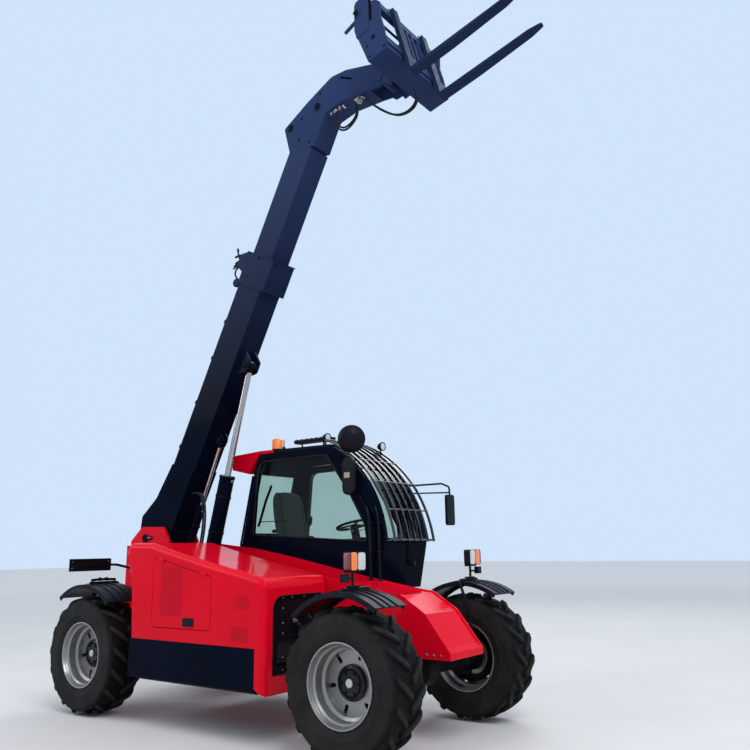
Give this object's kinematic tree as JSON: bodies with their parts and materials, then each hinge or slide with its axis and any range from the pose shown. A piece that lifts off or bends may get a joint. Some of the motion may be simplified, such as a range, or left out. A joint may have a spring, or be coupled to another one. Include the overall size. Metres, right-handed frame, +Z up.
{
  "type": "telehandler",
  "caption": "Telescopic handler with side cab, raised two-section boom carrying pallet forks, engine hood beside it, four-wheel steering on farm-tread tyres.",
  "frame": {"origin": "on the ground under the middle of the whole box, boom raised and forks forward", "axes": "+X forward, +Y to the machine's left (the cab side), +Z up"},
  "size_m": [5.5564, 2.326, 7.1295],
  "materials": {
    "red_paint": "glossy",
    "dark_paint": "glossy",
    "silver_paint": "satin",
    "black_steel": "satin",
    "tyre_rubber": "matte",
    "black_plastic": "satin",
    "cab_glass": "clear",
    "chrome_rod": "polished",
    "seat_cover": "matte",
    "lamp_lens": "glossy",
    "fork_steel": "worn",
    "engine_iron": "matte"
  },
  "bodies": {
    "chassis": {"chassis_frame": "red_paint", "counterweight": "red_paint", "front_axle": "black_steel", "rear_axle": "black_steel", "hood_shell": "red_paint", "engine_block": "engine_iron", "side_tank": "dark_paint", "arch_panel": "black_steel", "cab_frame": "dark_paint", "cab_roof": "red_paint", "cab_glass": "cab_glass", "cab_guard": "black_steel", "seat": "seat_cover", "steering_column": "black_plastic", "roof_lamps": "lamp_lens", "mirrors": "black_plastic", "left_tank": "dark_paint", "plate_bracket": "black_steel", "tail_lamps": "lamp_lens"},
    "cab_door": {"cab_door": "dark_paint", "door_glass": "cab_glass"},
    "engine_panel": {"engine_panel": "red_paint"},
    "boom_outer": {"boom_outer": "dark_paint"},
    "boom_inner": {"boom_inner": "dark_paint"},
    "carriage": {"carriage": "dark_paint", "forks": "fork_steel"},
    "lift_barrel": {"lift_barrel": "dark_paint"},
    "lift_rod": {"lift_rod": "chrome_rod"},
    "comp_barrel": {"comp_barrel": "dark_paint"},
    "comp_rod": {"comp_rod": "chrome_rod"},
    "tilt_barrel": {"tilt_barrel": "dark_paint"},
    "tilt_rod": {"tilt_rod": "chrome_rod"},
    "knuckle_fr": {"knuckle_fr": "black_steel", "fender_fr": "black_plastic", "lamp_fr": "lamp_lens"},
    "wheel_fr": {"tyre_fr": "tyre_rubber", "rim_fr": "silver_paint"},
    "knuckle_fl": {"knuckle_fl": "black_steel", "fender_fl": "black_plastic", "lamp_fl": "lamp_lens"},
    "wheel_fl": {"tyre_fl": "tyre_rubber", "rim_fl": "silver_paint"},
    "knuckle_rr": {"knuckle_rr": "black_steel", "fender_rr": "black_plastic"},
    "wheel_rr": {"tyre_rr": "tyre_rubber", "rim_rr": "silver_paint"},
    "knuckle_rl": {"knuckle_rl": "black_steel", "fender_rl": "black_plastic"},
    "wheel_rl": {"tyre_rl": "tyre_rubber", "rim_rl": "silver_paint"}
  },
  "joints": [
    {"name": "boom_lift", "type": "hinge", "parent": "chassis", "child": "boom_outer", "pos_m": [-2.3482, 0, 1.773], "axis": [0, -1, 0], "range_deg": [-64, 0]},
    {"name": "boom_extend", "type": "slide", "parent": "boom_outer", "child": "boom_inner", "axis": [0.454, 0, 0.891], "range_m": [-1.2, 0.6]},
    {"name": "carriage_tilt", "type": "hinge", "parent": "boom_inner", "child": "carriage", "pos_m": [1.1198, 0, 6.45373], "axis": [0, 1, 0], "range_deg": [-50, 35]},
    {"name": "lift_swing", "type": "hinge", "parent": "chassis", "child": "lift_barrel", "pos_m": [-1.5882, 0, 1.08], "axis": [0, -1, 0], "range_deg": [-67.99, 1]},
    {"name": "lift_slide", "type": "slide", "parent": "lift_barrel", "child": "lift_rod", "axis": [0.2546, 0, 0.967], "range_m": [-1.105, 0.02]},
    {"name": "comp_swing", "type": "hinge", "parent": "chassis", "child": "comp_barrel", "pos_m": [-1.9982, 0, 1.33], "axis": [0, -1, 0], "range_deg": [-66.96, 1]},
    {"name": "comp_slide", "type": "slide", "parent": "comp_barrel", "child": "comp_rod", "axis": [0.3933, 0, 0.9194], "range_m": [-0.617, 0.02]},
    {"name": "tilt_swing", "type": "hinge", "parent": "boom_inner", "child": "tilt_barrel", "pos_m": [0.22602, 0, 6.48377], "axis": [0, -1, 0], "range_deg": [-4.98, 4.09]},
    {"name": "tilt_slide", "type": "slide", "parent": "tilt_barrel", "child": "tilt_rod", "axis": [0.9717, 0, 0.2361], "range_m": [-0.205, 0.146]},
    {"name": "steer_front", "type": "hinge", "parent": "chassis", "child": "knuckle_fr", "pos_m": [1.3268, -0.767, 0.5875], "axis": [0, 0, 1], "range_deg": [-30, 30]},
    {"name": "spin_fr", "type": "hinge", "parent": "knuckle_fr", "child": "wheel_fr", "pos_m": [1.3268, -0.957, 0.5875], "axis": [0, 1, 0], "continuous": true},
    {"name": "steer_front_left", "type": "hinge", "parent": "chassis", "child": "knuckle_fl", "pos_m": [1.3268, 0.767, 0.5875], "axis": [0, 0, 1], "range_deg": [-30, 30]},
    {"name": "spin_fl", "type": "hinge", "parent": "knuckle_fl", "child": "wheel_fl", "pos_m": [1.3268, 0.957, 0.5875], "axis": [0, 1, 0], "continuous": true},
    {"name": "steer_rear", "type": "hinge", "parent": "chassis", "child": "knuckle_rr", "pos_m": [-2.1232, -0.767, 0.5875], "axis": [0, 0, 1], "range_deg": [-30, 30]},
    {"name": "spin_rr", "type": "hinge", "parent": "knuckle_rr", "child": "wheel_rr", "pos_m": [-2.1232, -0.957, 0.5875], "axis": [0, 1, 0], "continuous": true},
    {"name": "steer_rear_left", "type": "hinge", "parent": "chassis", "child": "knuckle_rl", "pos_m": [-2.1232, 0.767, 0.5875], "axis": [0, 0, 1], "range_deg": [-30, 30]},
    {"name": "spin_rl", "type": "hinge", "parent": "knuckle_rl", "child": "wheel_rl", "pos_m": [-2.1232, 0.957, 0.5875], "axis": [0, 1, 0], "continuous": true},
    {"name": "cab_door", "type": "hinge", "parent": "chassis", "child": "cab_door", "pos_m": [-1.0382, 1.065, 1.8], "axis": [0, 0, 1], "range_deg": [0, 95]},
    {"name": "engine_panel", "type": "hinge", "parent": "chassis", "child": "engine_panel", "pos_m": [-0.6262, -1.1083, 1.4801], "axis": [-0.978, 0, 0.2085], "range_deg": [0, 80]}
  ],
  "couplings": [
    {"joint": "lift_swing", "follows": "boom_lift", "ratio": 1.0467},
    {"joint": "lift_slide", "follows": "boom_lift", "m_per_rad": 0.97106},
    {"joint": "comp_swing", "follows": "boom_lift", "ratio": 1.0306},
    {"joint": "comp_slide", "follows": "boom_lift", "m_per_rad": 0.53414},
    {"joint": "tilt_swing", "follows": "carriage_tilt", "ratio": 0.059622},
    {"joint": "tilt_slide", "follows": "carriage_tilt", "m_per_rad": 0.22322},
    {"joint": "steer_front_left", "follows": "steer_front", "ratio": 1},
    {"joint": "steer_rear_left", "follows": "steer_rear", "ratio": 1}
  ]
}
